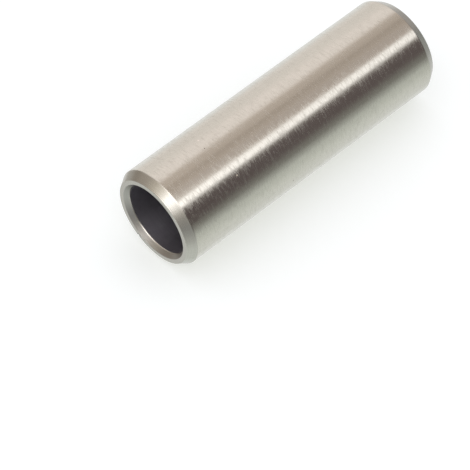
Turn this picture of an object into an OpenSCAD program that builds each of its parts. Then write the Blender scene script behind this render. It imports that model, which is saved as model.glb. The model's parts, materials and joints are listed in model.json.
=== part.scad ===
// Gudgeon pin: a hollow ground steel pin that joins a piston to its connecting rod.
// It stands on one end face, with its axis along Z and the origin in the middle of that face.

/* [Pin] */
// Outside diameter of the ground flank
outer_d = 16; // [12:0.5:24]
// Length over the two end faces
pin_length = 50; // [36:1:80]
// Thickness of the wall between bore and flank
wall = 2.2; // [2:0.1:4]

/* [End chamfers] */
// How far each outer chamfer cuts in from the flank
chamfer_w = 0.9; // [0.5:0.05:1]
// How far each outer chamfer runs along the flank
chamfer_l = 1.4; // [0.8:0.1:2.4]

/* [Bore mouths] */
// How far each mouth cone opens out from the bore
mouth_w = 0.575; // [0.2:0.025:0.7]
// How far each mouth cone runs into the bore
mouth_l = 0.8; // [0.5:0.05:1.8]

/* [Edges] */
// Radius of the edge where flank and chamfer meet
flank_edge_r = 0.4; // [0.1:0.05:0.8]
// Radius of the two edges of each end face
face_edge_r = 0.12; // [0.04:0.02:0.2]
// Radius of the edge where bore and mouth cone meet
bore_edge_r = 0.45; // [0.1:0.05:0.6]

/* [Hidden] */

outer_r = outer_d / 2;
bore_r = outer_r - wall;
face_inner_r = bore_r + mouth_w;
face_outer_r = outer_r - chamfer_w;

// Facets of a full turn and of an edge's round, for display only
turn_fn = 180;
edge_fn = 48;
// Each edge's arc stands this far proud of the two lines that it joins, so that it ends on them cleanly
edge_lap = 0.0001;

// Corners of the wall's section at the lower end, from bore to flank: [radius, height, edge radius]
end_corners = [
    [bore_r, mouth_l, bore_edge_r],
    [face_inner_r, 0, face_edge_r],
    [face_outer_r, 0, face_edge_r],
    [outer_r, chamfer_l, flank_edge_r],
];
last_corner = len(end_corners) - 1;

// The upper end is the lower one turned over, so the corners run on round the wall
section_corners = concat(
    end_corners,
    [for (i = [last_corner:-1:0]) [end_corners[i].x, pin_length - end_corners[i].y, end_corners[i].z]]
);
corner_count = len(section_corners);

function place(i) = let (c = section_corners[(i + corner_count) % corner_count]) [c.x, c.y];
function unit(v) = v / norm(v);

// The sliver outside the arc that rounds one corner of the section
module edge_sliver(before, corner, after, r) {
    back = unit(before - corner);
    on = unit(after - corner);
    half_angle = acos(back * on) / 2;
    reach = r / tan(half_angle);
    centre = corner + unit(back + on) * r / sin(half_angle);
    beyond = 2 * corner - centre;

    difference() {
        polygon([corner + back * reach, beyond, corner + on * reach, centre]);
        translate(centre) circle(r + edge_lap, $fn = edge_fn);
    }
}

// Half of a lengthwise cut: the wall with its chamfers, mouth cones and rounded edges
module wall_section() {
    difference() {
        polygon([for (i = [0:corner_count - 1]) place(i)]);
        for (i = [0:corner_count - 1])
            edge_sliver(place(i - 1), place(i), place(i + 1), section_corners[i].z);
    }
}

// The whole pin, turned from one bar: flank, chamfers, end faces, mouth cones and bore
module gudgeon_pin() {
    color("silver")
    rotate_extrude($fn = turn_fn) wall_section();
}

gudgeon_pin();
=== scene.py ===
import json
import math

import bmesh
import bpy
from mathutils import Matrix, Quaternion, Vector


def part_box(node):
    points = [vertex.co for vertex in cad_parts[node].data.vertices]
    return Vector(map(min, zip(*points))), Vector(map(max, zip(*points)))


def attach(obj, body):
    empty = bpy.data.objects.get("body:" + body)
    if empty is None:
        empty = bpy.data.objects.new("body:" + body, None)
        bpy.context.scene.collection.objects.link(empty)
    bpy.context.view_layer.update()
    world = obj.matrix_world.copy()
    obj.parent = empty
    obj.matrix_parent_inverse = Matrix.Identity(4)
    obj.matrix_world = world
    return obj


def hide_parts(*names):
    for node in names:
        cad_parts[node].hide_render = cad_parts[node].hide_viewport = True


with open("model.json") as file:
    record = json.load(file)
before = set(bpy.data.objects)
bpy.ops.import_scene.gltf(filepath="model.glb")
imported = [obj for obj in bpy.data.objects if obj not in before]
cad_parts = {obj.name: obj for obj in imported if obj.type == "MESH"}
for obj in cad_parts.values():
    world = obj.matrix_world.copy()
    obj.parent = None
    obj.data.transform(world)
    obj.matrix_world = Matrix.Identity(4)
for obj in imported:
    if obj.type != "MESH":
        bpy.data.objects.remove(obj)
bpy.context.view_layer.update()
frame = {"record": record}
scene = bpy.context.scene
mm = 0.001  # one millimetre in metres

mounts = {mount["name"]: mount for mount in frame["record"]["mounts"]}
flankRadius = mounts["flank"]["dims"]["r_mm"] * mm
boreRadius = mounts["bore"]["dims"]["r_mm"] * mm
pinLow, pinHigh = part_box("gudgeon_pin")
pinLength = pinHigh.z - pinLow.z
print("frame loaded, pin", round(pinLength / mm, 2), "mm long")


def bearing(azimuth, elevation=0.0):
    # azimuth 0 points to -Y and 90 to +X
    turn, lift = math.radians(azimuth), math.radians(elevation)
    return Vector((math.sin(turn) * math.cos(lift), -math.cos(turn) * math.cos(lift), math.sin(lift)))


def linear(hexColour, level=1.0):
    # sRGB hex to the linear colour that the shaders use
    channels = [int(hexColour[i:i + 2], 16) / 255 for i in (1, 3, 5)]
    curve = [c / 12.92 if c <= 0.04045 else ((c + 0.055) / 1.055) ** 2.4 for c in channels]
    return [c * level for c in curve] + [1.0]


def addNode(tree, kind, links=None, **settings):
    # one node with its settings; links gives each input a value or another node's output
    node = tree.nodes.new(kind)
    for name, value in settings.items():
        setattr(node, name, value)
    for name, value in (links or {}).items():
        if isinstance(value, bpy.types.NodeSocket):
            tree.links.new(value, node.inputs[name])
        else:
            node.inputs[name].default_value = value
    return node


def newMaterial(name):
    material = bpy.data.materials.new(name)
    material.use_nodes = True
    material.node_tree.nodes.clear()
    return material, material.node_tree


def addObject(name, bm, *materials):
    # the operators leave faces in no fixed order, so they are put in one
    bm.verts.index_update()
    inOrder = sorted(bm.faces, key=lambda face: sorted(vert.index for vert in face.verts))
    for index, face in enumerate(inOrder):
        face.index = index
    bm.faces.sort()
    mesh = bpy.data.meshes.new(name)
    bm.to_mesh(mesh)
    bm.free()
    for material in materials:
        mesh.materials.append(material)
    thing = bpy.data.objects.new(name, mesh)
    scene.collection.objects.link(thing)
    return thing


# The photograph's camera looks past the lower end, rolled so that the upright pin lies across the picture
photoCamera = {
    "azimuth": 74.1,
    "elevation": -24.5,
    "roll": -53.3,
    "distance": 430.0,  # mm, from the point it aims at
    "aim": (-3.4, 9.8, 11.9),  # mm, what is in the middle of the picture
    "lens": 224.2,  # mm
    "sensor": 36.0,  # mm wide
    "clip": (0.01, 20.0),  # m, the nearest and the furthest that it sees
}


def makeCamera(spec):
    back = bearing(spec["azimuth"], spec["elevation"])
    data = bpy.data.cameras.new("photoCamera")
    data.sensor_width = spec["sensor"]
    data.lens = spec["lens"]
    data.clip_start, data.clip_end = spec["clip"]
    camera = bpy.data.objects.new("photoCamera", data)
    camera.location = Vector(spec["aim"]) * mm + back * spec["distance"] * mm
    camera.rotation_mode = "QUATERNION"
    upright = (-back).to_track_quat("-Z", "Y")
    camera.rotation_quaternion = upright @ Quaternion((0, 0, 1), math.radians(-spec["roll"]))
    scene.collection.objects.link(camera)
    scene.camera = camera


makeCamera(photoCamera)
print("camera placed")


# The pin, turned from one section: sizes in mm that the frame doesn't give
pinSpec = {
    "chamferWidth": 0.9,
    "chamferLength": 1.4,
    "mouthWidth": 0.575,
    "mouthLength": 0.8,
    "flankEdge": 0.4,  # radii of the rounded edges, each drawn in edgeSegments
    "faceEdge": 0.12,
    "boreEdge": 0.45,
    "turnSteps": 256,
    "edgeSegments": 4,
    "ringSpacing": 2.0,  # between the rings of faces along the pin
    # a nick that a knock left in the lower end's rim; lift is how far it goes up for each mm inwards
    "nick": {"azimuth": -106.8, "width": 0.6, "depth": 0.16, "lift": 0.6},
}
rimRadius = flankRadius - pinSpec["chamferWidth"] * mm  # where an end face meets its chamfer
mergeDistance = 0.0001 * mm  # joins the two ends of the full turn

finishes = ["flank", "ends", "bore", "mouths"]  # in the order of the pin's material slots
straightWall = 0.995  # flank and bore face outwards or inwards by more than this
coneWall = (-0.83, -0.3)  # the mouth cones face inwards by this much


def roundedCorner(before, corner, after, edge, segments):
    # points of the arc that rounds one corner of the section
    back, on = (before - corner).normalized(), (after - corner).normalized()
    halfAngle = back.angle(on) / 2
    centre = corner + (back + on).normalized() * edge / math.sin(halfAngle)
    first = corner + back * edge / math.tan(halfAngle) - centre
    sweep = math.pi - 2 * halfAngle
    return [centre + Matrix.Rotation(sweep * step / segments, 2) @ first for step in range(segments + 1)]


def pinSection(spec):
    # corners of the wall at the lower end, from bore to flank: radius, height, edge radius
    lower = [
        (boreRadius, spec["mouthLength"] * mm, spec["boreEdge"] * mm),
        (boreRadius + spec["mouthWidth"] * mm, 0.0, spec["faceEdge"] * mm),
        (rimRadius, 0.0, spec["faceEdge"] * mm),
        (flankRadius, spec["chamferLength"] * mm, spec["flankEdge"] * mm),
    ]
    corners = lower + [(radius, pinLength - height, edge) for radius, height, edge in reversed(lower)]
    places = [Vector((radius, height)) for radius, height, edge in corners]
    arcs = []
    for index, (radius, height, edge) in enumerate(corners):
        after = places[(index + 1) % len(places)]
        arcs.append(roundedCorner(places[index - 1], places[index], after, edge, spec["edgeSegments"]))

    # points along flank and bore, where rings of faces meet
    rings = round(pinLength / mm / spec["ringSpacing"])
    heights = [pinLength * step / rings for step in range(1, rings)]
    flank = [Vector((flankRadius, height)) for height in heights]
    bore = [Vector((boreRadius, height)) for height in reversed(heights)]
    return sum(arcs[:len(lower)], []) + flank + sum(arcs[len(lower):], []) + bore


def turnPin(spec):
    bm = bmesh.new()
    verts = [bm.verts.new((radius, 0.0, height)) for radius, height in pinSection(spec)]
    edges = [bm.edges.new(pair) for pair in zip(verts, verts[1:] + verts[:1])]
    bmesh.ops.spin(bm, geom=verts + edges, axis=(0, 0, 1), cent=(0, 0, 0),
                   angle=math.tau, steps=spec["turnSteps"], use_merge=True)
    bmesh.ops.remove_doubles(bm, verts=bm.verts[:], dist=mergeDistance)
    bmesh.ops.recalc_face_normals(bm, faces=bm.faces[:])
    return bm


def pressNick(bm, nick):
    # pushes the rim in and up, most of all in the middle of the nick
    inward = -bearing(nick["azimuth"])
    push = (inward + Vector((0, 0, nick["lift"]))) * nick["depth"] * mm
    middle = -inward * rimRadius
    for vert in bm.verts:
        share = 1 - (vert.co - middle).length / (nick["width"] * mm / 2)
        if share > 0:
            vert.co += push * share


def finishOf(face):
    # how far a face looks outwards tells which part of the pin it is on
    middle = face.calc_center_median()
    outward = face.normal.dot(Vector((middle.x, middle.y, 0)).normalized())
    if outward > straightWall:
        return "flank"
    if outward < -straightWall:
        return "bore"
    if coneWall[0] < outward < coneWall[1]:
        return "mouths"
    return "ends"


def shadingNormals(bm):
    # each point shades as its largest faces do, so that the flats stay flat up to their rounded edges
    normals = []
    for vert in bm.verts:
        areas = {face: face.calc_area() for face in vert.link_faces}
        largest = max(areas.values())
        main = [face.normal for face in areas if areas[face] > largest / 2]
        normals.append(sum(main, Vector()).normalized())
    return normals


def makePin(spec, materials):
    bm = turnPin(spec)
    pressNick(bm, spec["nick"])
    bm.normal_update()
    for face in bm.faces:
        face.smooth = True
        face.material_index = finishes.index(finishOf(face))
    normals = shadingNormals(bm)
    pin = addObject("groundPin", bm, *[materials[finish] for finish in finishes])
    pin.data.normals_split_custom_set_from_vertices(normals)
    return pin


noiseLow, noiseMiddle, noiseHigh = 0.3, 0.5, 0.7  # nearly all of a noise pattern lies between low and high
acrossMarks = 0.25  # of a turn: fine marks draw the light out across them

# Hardened steel, centreless ground: a bright grey mirror, drawn out along the pin by fine marks round it
flankSpec = {
    "steel": ("#c4c2b8", "#cac8be"),  # in the marks and between them
    "roughness": (0.15, 0.39),  # between the marks and in the deepest
    "anisotropy": 0.6,
    "markSpacing": 0.2,  # mm along the pin; real grinding marks are finer than they show here
    "markLength": 1.2,  # mm round the pin
    "markDepth": 0.008,  # mm, as much too deep as the spacing is too wide
    "markRange": (0.4, 0.75),  # of the noise, from where the marks begin to where they are deepest
    "rubSize": (1.0, 0.7),  # mm round and along the pin, spots where handling has broken the marks up
    "rubAmount": (0.6, 0.15),  # at the lower end and at the upper one
    # small knocks from handling: azimuth, height in mm, size in mm, colour, roughness
    "knocksAndShade": [
        (30.8, 10.8, 0.42, "#dcd6cd", 0.25),
        (87.4, 11.5, 0.32, "#e6dfcf", 0.7),
        (44.1, 10.3, 0.25, "#8a8178", 0.35),
        (138.7, 20.3, 0.30, "#8a857c", 0.35),
    ],
}


def roundTangent(tree, place):
    # the direction round the pin, which grinding and turning marks follow
    axis = (0.0, 0.0, 1.0)
    tangent = addNode(tree, "ShaderNodeVectorMath", {0: axis, 1: place}, operation="CROSS_PRODUCT")
    return addNode(tree, "ShaderNodeVectorMath", {0: tangent.outputs[0]}, operation="NORMALIZE").outputs[0]


def addKnocksAndShade(tree, place, colour, rough, radius, knocksAndShade):
    # round spots on a surface at this radius, over its colour and roughness: worn knocks, and painted shade
    # where a dent is
    for azimuth, height, size, tone, matt in knocksAndShade:
        spot = bearing(azimuth) * radius + Vector((0, 0, height * mm))
        gap = addNode(tree, "ShaderNodeVectorMath", {0: place, 1: spot}, operation="DISTANCE")
        inside = addNode(tree, "ShaderNodeMapRange", {
            "Value": gap.outputs["Value"], "From Min": size * mm / 2, "From Max": size * mm / 4},
            interpolation_type="SMOOTHSTEP").outputs["Result"]
        colour = addNode(tree, "ShaderNodeMix", {"Factor": inside, "A": colour, "B": linear(tone)},
                         data_type="RGBA").outputs["Result"]
        rough = addNode(tree, "ShaderNodeMix", {"Factor": inside, "A": rough, "B": matt}).outputs["Result"]
    return colour, rough


def groundSteel(spec):
    material, tree = newMaterial("groundHardenedSteel")
    place = addNode(tree, "ShaderNodeTexCoord").outputs["Object"]

    # the marks, stretched round the pin
    around, along = 1 / (spec["markLength"] * mm), 1 / (spec["markSpacing"] * mm)
    stretched = addNode(tree, "ShaderNodeMapping", {"Vector": place, "Scale": (around, around, along)})
    marks = addNode(tree, "ShaderNodeTexNoise", {
        "Vector": stretched.outputs["Vector"], "Scale": 1.0,
        "Detail": 2.0, "Roughness": 0.55}).outputs["Fac"]

    # rubbed spots make them uneven, less so towards the upper end
    around, along = [1 / (size * mm) for size in spec["rubSize"]]
    patched = addNode(tree, "ShaderNodeMapping", {"Vector": place, "Scale": (around, around, along)})
    rubs = addNode(tree, "ShaderNodeTexNoise", {
        "Vector": patched.outputs["Vector"], "Scale": 1.0, "Detail": 1.0}).outputs["Fac"]
    height = addNode(tree, "ShaderNodeSeparateXYZ", {"Vector": place}).outputs["Z"]
    lowerAmount, upperAmount = spec["rubAmount"]
    amount = addNode(tree, "ShaderNodeMapRange", {
        "Value": height, "From Max": pinLength,
        "To Min": lowerAmount, "To Max": upperAmount}).outputs["Result"]
    uneven = addNode(tree, "ShaderNodeMath", {0: rubs, 1: noiseMiddle}, operation="SUBTRACT").outputs[0]
    broken = addNode(tree, "ShaderNodeMath", {0: uneven, 1: amount, 2: marks},
                     operation="MULTIPLY_ADD").outputs[0]
    shallow, deep = spec["markRange"]
    depth = addNode(tree, "ShaderNodeMapRange", {
        "Value": broken, "From Min": shallow, "From Max": deep}).outputs["Result"]

    marked, bright = spec["steel"]
    smooth, matt = spec["roughness"]
    colour = addNode(tree, "ShaderNodeMix", {"Factor": marks, "A": linear(bright), "B": linear(marked)},
                     data_type="RGBA").outputs["Result"]
    rough = addNode(tree, "ShaderNodeMapRange", {
        "Value": depth, "To Min": smooth, "To Max": matt}).outputs["Result"]
    colour, rough = addKnocksAndShade(tree, place, colour, rough, flankRadius, spec["knocksAndShade"])
    # the marks are grooves
    relief = addNode(tree, "ShaderNodeBump", {
        "Height": marks, "Distance": spec["markDepth"] * mm}, invert=True)
    shader = addNode(tree, "ShaderNodeBsdfPrincipled", {
        "Base Color": colour, "Metallic": 1.0, "Roughness": rough, "Normal": relief.outputs["Normal"],
        "Tangent": roundTangent(tree, place),
        "Anisotropic": spec["anisotropy"], "Anisotropic Rotation": acrossMarks})
    addNode(tree, "ShaderNodeOutputMaterial", {"Surface": shader.outputs["BSDF"]})
    return material


# Steel turned on a lathe at the ends: satin, with rings too fine to count
endSpec = {
    "steel": ("#c4c2b9", "#cac8c0"),  # in the rings and between them
    "roughness": (0.22, 0.26),  # between the rings and in them
    "anisotropy": 0.4,
    "ringSpacing": 0.08,  # mm; real rings are finer
    "ringDepth": 0.002,  # mm
    "knocksAndShade": [(pinSpec["nick"]["azimuth"], 0.08, 0.9, "#2e2b28", 0.45)],  # painted shade in the nick: a dark spot where the dent is
}
# The mouth cones were cut with a countersink: duller than the ends, because the tool chatters
mouthSpec = {
    "steel": ("#b2b0aa", "#b9b7b1"),
    "roughness": (0.30, 0.36),
    "anisotropy": 0.3,
    "ringSpacing": 0.15,  # mm; real rings are finer
    "ringDepth": 0.006,  # mm
    "knocksAndShade": [],
}


def turnedSteel(name, spec):
    material, tree = newMaterial(name)
    place = addNode(tree, "ShaderNodeTexCoord").outputs["Object"]
    flat = addNode(tree, "ShaderNodeVectorMath", {0: place, 1: (1.0, 1.0, 0.0)}, operation="MULTIPLY")
    radius = addNode(tree, "ShaderNodeVectorMath", {0: flat.outputs[0]}, operation="LENGTH")
    rings = addNode(tree, "ShaderNodeTexNoise", {
        "W": radius.outputs["Value"], "Scale": 1 / (spec["ringSpacing"] * mm), "Detail": 1.0},
        noise_dimensions="1D").outputs["Fac"]
    between = addNode(tree, "ShaderNodeMapRange", {
        "Value": rings, "From Min": noiseLow, "From Max": noiseHigh}).outputs["Result"]
    ringed, bright = spec["steel"]
    smooth, matt = spec["roughness"]
    colour = addNode(tree, "ShaderNodeMix", {"Factor": between, "A": linear(ringed), "B": linear(bright)},
                     data_type="RGBA").outputs["Result"]
    rough = addNode(tree, "ShaderNodeMapRange", {
        "Value": between, "To Min": matt, "To Max": smooth}).outputs["Result"]
    colour, rough = addKnocksAndShade(tree, place, colour, rough, rimRadius, spec["knocksAndShade"])
    relief = addNode(tree, "ShaderNodeBump", {"Height": rings, "Distance": spec["ringDepth"] * mm})
    shader = addNode(tree, "ShaderNodeBsdfPrincipled", {
        "Base Color": colour, "Metallic": 1.0, "Roughness": rough, "Normal": relief.outputs["Normal"],
        "Tangent": roundTangent(tree, place),
        "Anisotropic": spec["anisotropy"], "Anisotropic Rotation": acrossMarks})
    addNode(tree, "ShaderNodeOutputMaterial", {"Surface": shader.outputs["BSDF"]})
    return material


# The bore was left as drilled and hardened: a dull grey skin in uneven patches, over the drill's rings
boreSpec = {
    "steel": ("#98969e", "#aaa8b0"),  # the skin where it is thick and where it is thin
    "roughness": (0.54, 0.46),  # in the same order
    "patchSize": 2.5,  # mm
    "ringSpacing": 0.5,  # mm along the bore
    "ringDepth": 0.02,  # mm
}


def drilledSteel(spec):
    material, tree = newMaterial("drilledHardenedSteel")
    place = addNode(tree, "ShaderNodeTexCoord").outputs["Object"]
    patches = addNode(tree, "ShaderNodeTexNoise", {
        "Vector": place, "Scale": 1 / (spec["patchSize"] * mm), "Detail": 3.0}).outputs["Fac"]
    thinness = addNode(tree, "ShaderNodeMapRange", {
        "Value": patches, "From Min": noiseLow, "From Max": noiseHigh}).outputs["Result"]
    height = addNode(tree, "ShaderNodeSeparateXYZ", {"Vector": place}).outputs["Z"]
    rings = addNode(tree, "ShaderNodeTexNoise", {
        "W": height, "Scale": 1 / (spec["ringSpacing"] * mm), "Detail": 1.0},
        noise_dimensions="1D").outputs["Fac"]
    thick, thin = spec["steel"]
    matt, smooth = spec["roughness"]
    colour = addNode(tree, "ShaderNodeMix", {"Factor": thinness, "A": linear(thick), "B": linear(thin)},
                     data_type="RGBA").outputs["Result"]
    rough = addNode(tree, "ShaderNodeMapRange", {
        "Value": thinness, "To Min": matt, "To Max": smooth}).outputs["Result"]
    relief = addNode(tree, "ShaderNodeBump", {"Height": rings, "Distance": spec["ringDepth"] * mm})
    shader = addNode(tree, "ShaderNodeBsdfPrincipled", {
        "Base Color": colour, "Metallic": 1.0, "Roughness": rough, "Normal": relief.outputs["Normal"]})
    addNode(tree, "ShaderNodeOutputMaterial", {"Surface": shader.outputs["BSDF"]})
    return material


pin = makePin(pinSpec, {
    "flank": groundSteel(flankSpec),
    "ends": turnedSteel("turnedSteel", endSpec),
    "bore": drilledSteel(boreSpec),
    "mouths": turnedSteel("countersunkSteel", mouthSpec),
})
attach(pin, "root")
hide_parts("gudgeon_pin")
print("pin turned,", len(pin.data.polygons), "faces")


# White paper: the table that the flank lies against in the photograph, and the floor under the standing pin
paperSpec = {
    "colour": "#cccdd8",  # a trace blue, its own light a trace yellow: only the shadow is tinted
    "light": "#fdffef",
    "glow": 0.47,  # strength of its own light, which leaves it white outside the soft shadow
    "size": 1.2,  # m
    "tableAzimuth": 45.0,  # the way the table's surface faces
    "floorDrop": 0.02,  # mm, keeps the floor clear of the end face that stands on it
}


def whitePaper(spec):
    # takes the soft shadow, and is clear from behind
    material, tree = newMaterial("whitePaper")
    paper = addNode(tree, "ShaderNodeBsdfDiffuse", {"Color": linear(spec["colour"])})
    light = addNode(tree, "ShaderNodeEmission", {
        "Color": linear(spec["light"]), "Strength": spec["glow"]})
    front = addNode(tree, "ShaderNodeAddShader", {0: paper.outputs["BSDF"], 1: light.outputs["Emission"]})
    clear = addNode(tree, "ShaderNodeBsdfTransparent")
    behind = addNode(tree, "ShaderNodeNewGeometry").outputs["Backfacing"]
    sides = addNode(tree, "ShaderNodeMixShader", {
        "Fac": behind, 1: front.outputs["Shader"], 2: clear.outputs["BSDF"]})
    addNode(tree, "ShaderNodeOutputMaterial", {"Surface": sides.outputs["Shader"]})
    return material


def seenBy(thing, camera=False, glossy=False):
    # only the camera or reflections see the stage, so that it neither lights nor shades the pin
    thing.visible_camera = camera
    thing.visible_glossy = glossy
    thing.visible_diffuse = False
    thing.visible_transmission = False
    thing.visible_shadow = False
    thing.visible_volume_scatter = False


def makeSurface(name, point, facing, size, material):
    bm = bmesh.new()
    turn = Vector((0, 0, 1)).rotation_difference(facing).to_matrix().to_4x4()
    bmesh.ops.create_grid(bm, x_segments=1, y_segments=1, size=size / 2,
                          matrix=Matrix.Translation(point) @ turn)
    surface = addObject(name, bm, material)
    seenBy(surface, camera=True)


# A tent of soft panels round the pin, which shows only in the metal
tentSpec = {
    "radius": 160.0,  # mm
    "heights": (-420.0, 460.0),  # mm along the pin, from its foot to its lid
    "segments": 128,
    "dimming": (125.0, 400.0),  # mm, heights between which the panels darken towards the lid
    "lidLevel": 0.47,
    "unevenness": 0.05,  # how far the light wanders round the tent
    "wanderScale": 40.0,  # about how often it does so in a turn
}
seamAzimuth = -90  # where the panels begin and end, a full turn apart
# panels: from azimuth, to azimuth, colour, level; between two panels the light fades from one to the next
leftPanels = [
    (-90, -88, "#ffffff", 0.82),
    (-80, -66, "#ffffff", 1.03),
    (-50, -24, "#fff8f6", 1.05),
    (-8, 12, "#fff6f5", 1.20),
]
rightPanels = [
    (131, 135, "#fffcf6", 0.26),
    (152, 152, "#fbfffb", 0.68),
    (165, 165, "#fbfffb", 0.82),
    (185, 185, "#fcfffd", 0.93),
    (205, 225, "#fdfffe", 0.95),
    (262, 270, "#ffffff", 0.82),
]
# most of the flank shows these: pale sides, a bright strip and a dark band beside it
upperPanels = leftPanels + [
    (20, 20, "#fff0e8", 0.80),
    (38, 48, "#ffeee4", 0.61),
    (56, 68, "#fff0ea", 0.68),
    (75, 84, "#fffcff", 1.64),
    (91, 91, "#fff4f0", 0.33),
    (98, 119, "#ffeaec", 0.165),
] + rightPanels
# the flank shows a wider and brighter strip near its lower end
nearPanels = leftPanels + [
    (20, 20, "#fff0e8", 0.82),
    (38, 48, "#ffeee4", 0.68),
    (58, 58, "#fff2ee", 0.79),
    (68, 68, "#fff6f2", 1.04),
    (75, 82, "#fffcff", 2.10),
    (90, 90, "#fff4f0", 0.28),
    (98, 126, "#ffeaec", 0.13),
] + rightPanels
# the sides of the lower chamfer
rimPanels = [
    (-90, -82, "#ffffff", 0.65),
    (-72, -58, "#fffaf4", 0.53),
    (-48, -36, "#fff2e6", 0.38),
    (-24, -24, "#fff6f0", 0.62),
    (-10, 12, "#fff6f5", 1.05),
    (22, 22, "#fff0e8", 0.80),
    (36, 56, "#fff0ea", 0.70),
    (74, 84, "#fffcff", 1.80),
    (91, 91, "#fff4f0", 0.33),
    (98, 134, "#fff4f0", 0.15),
    (150, 150, "#fbfffb", 0.55),
    (166, 226, "#fafffc", 0.79),
    (250, 266, "#fcfffd", 0.40),
]
# the lower end face, more of the chamfer and the glint on the bore's edge
middlePanels = [
    (-90, -88, "#ffffff", 0.69),
    (-78, -66, "#fffaf4", 0.55),
    (-48, -26, "#fff0e0", 0.40),
    (2, 12, "#fff4ea", 0.58),
    (42, 72, "#fff8f8", 3.0),
    (96, 130, "#fff8f0", 0.24),
    (190, 225, "#fafffc", 0.82),
    (240, 270, "#ffffff", 0.73),
]
# the middle of the lower chamfer, with its highlight
lowerPanels = [
    (-90, -75, "#ffffff", 0.75),
    (-45, -22, "#fff0e4", 0.28),
    (0, 0, "#fff4e4", 0.68),
    (10, 10, "#fff4e4", 0.76),
    (24, 24, "#fff6ea", 0.95),
    (36, 36, "#fff8f0", 1.36),
    (54, 66, "#fffdff", 3.05),
    (84, 84, "#fffcfa", 1.58),
    (93, 93, "#fffaf4", 0.92),
    (102, 102, "#fff8f0", 0.55),
    (112, 118, "#fffaf4", 0.41),
    (132, 132, "#ffffff", 0.34),
    (190, 270, "#fafffc", 0.80),
]
# the lower mouth cone
bottomPanels = [
    (-90, -60, "#ffffff", 0.75),
    (-30, 10, "#fff4e8", 0.28),
    (48, 80, "#fff0e2", 0.28),
    (112, 142, "#ffffff", 0.38),
    (190, 270, "#ffffff", 0.90),
]
# above the bottom panels each next layer takes over between two heights in mm
tentLayers = [
    (-170.0, -128.0, lowerPanels),
    (-92.0, -76.0, middlePanels),
    (-52.0, -38.0, rimPanels),
    (12.0, 48.0, nearPanels),
    (62.0, 88.0, upperPanels),
]


def panelRamp(tree, turnShare, panels):
    ramp = addNode(tree, "ShaderNodeValToRGB", {"Fac": turnShare})
    stops = []
    for start, end, colour, level in panels:
        for edge in sorted({start, end}):
            stops.append(((edge - seamAzimuth) / 360, linear(colour, level)))
    elements = ramp.color_ramp.elements
    while len(elements) < len(stops):
        elements.new(0.5)  # moved to its place below
    for element, (position, colour) in zip(elements, stops):
        element.position = position
        element.color = colour
    return ramp.outputs["Color"]


def tentLight(spec, lowest, layers):
    material, tree = newMaterial("tentPanels")
    place = addNode(tree, "ShaderNodeSeparateXYZ",
                    {"Vector": addNode(tree, "ShaderNodeTexCoord").outputs["Object"]})
    across, deep, height = [place.outputs[name] for name in "XYZ"]
    # the polar angle jumps at the seam, so its share of a turn runs from there
    angle = addNode(tree, "ShaderNodeMath", {0: deep, 1: across}, operation="ARCTAN2").outputs[0]
    turnShare = addNode(tree, "ShaderNodeMapRange", {
        "Value": angle, "From Min": -math.pi, "From Max": math.pi}).outputs["Result"]

    light = panelRamp(tree, turnShare, lowest)
    for start, end, panels in layers:
        share = addNode(tree, "ShaderNodeMapRange", {
            "Value": height, "From Min": start * mm, "From Max": end * mm},
            interpolation_type="SMOOTHSTEP").outputs["Result"]
        light = addNode(tree, "ShaderNodeMix", {
            "Factor": share, "A": light, "B": panelRamp(tree, turnShare, panels)},
            data_type="RGBA").outputs["Result"]

    start, end = spec["dimming"]
    dimming = addNode(tree, "ShaderNodeMapRange", {
        "Value": height, "From Min": start * mm, "From Max": end * mm,
        "To Min": 1.0, "To Max": spec["lidLevel"]}).outputs["Result"]
    wander = addNode(tree, "ShaderNodeTexNoise", {
        "W": turnShare, "Scale": spec["wanderScale"], "Detail": 2.0}, noise_dimensions="1D").outputs["Fac"]
    evenness = addNode(tree, "ShaderNodeMapRange", {
        "Value": wander, "From Min": noiseLow, "From Max": noiseHigh,
        "To Min": 1 - spec["unevenness"], "To Max": 1 + spec["unevenness"]}).outputs["Result"]
    strength = addNode(tree, "ShaderNodeMath", {0: dimming, 1: evenness}, operation="MULTIPLY").outputs[0]
    glow = addNode(tree, "ShaderNodeEmission", {"Color": light, "Strength": strength})
    addNode(tree, "ShaderNodeOutputMaterial", {"Surface": glow.outputs["Emission"]})
    return material


def makeTent(spec, lowest, layers):
    radius, segments = spec["radius"] * mm, spec["segments"]
    foot, lid = [Vector((0, 0, height * mm)) for height in spec["heights"]]
    bm = bmesh.new()
    bmesh.ops.create_circle(bm, segments=segments, radius=radius, matrix=Matrix.Translation(foot))
    walls = bmesh.ops.extrude_edge_only(bm, edges=bm.edges[:])
    top = [part for part in walls["geom"] if isinstance(part, bmesh.types.BMVert)]
    bmesh.ops.translate(bm, verts=top, vec=lid - foot)
    bmesh.ops.create_circle(bm, cap_ends=True, segments=segments, radius=radius,
                            matrix=Matrix.Translation(lid))
    tent = addObject("tentPanels", bm, tentLight(spec, lowest, layers))
    seenBy(tent, glossy=True)


paper = whitePaper(paperSpec)
tableFacing = bearing(paperSpec["tableAzimuth"])
floorPoint = Vector((0, 0, pinLow.z - paperSpec["floorDrop"] * mm))
makeSurface("table", -tableFacing * flankRadius, tableFacing, paperSpec["size"], paper)
makeSurface("floor", floorPoint, Vector((0, 0, 1)), paperSpec["size"], paper)
makeTent(tentSpec, bottomPanels, tentLayers)

world = bpy.data.worlds.new("whiteStudio")
scene.world = world
world.use_nodes = True
background = world.node_tree.nodes["Background"].inputs
background["Color"].default_value = linear("#ffffff")
background["Strength"].default_value = 1.0
scene.view_settings.view_transform = "Standard"
print("studio set")
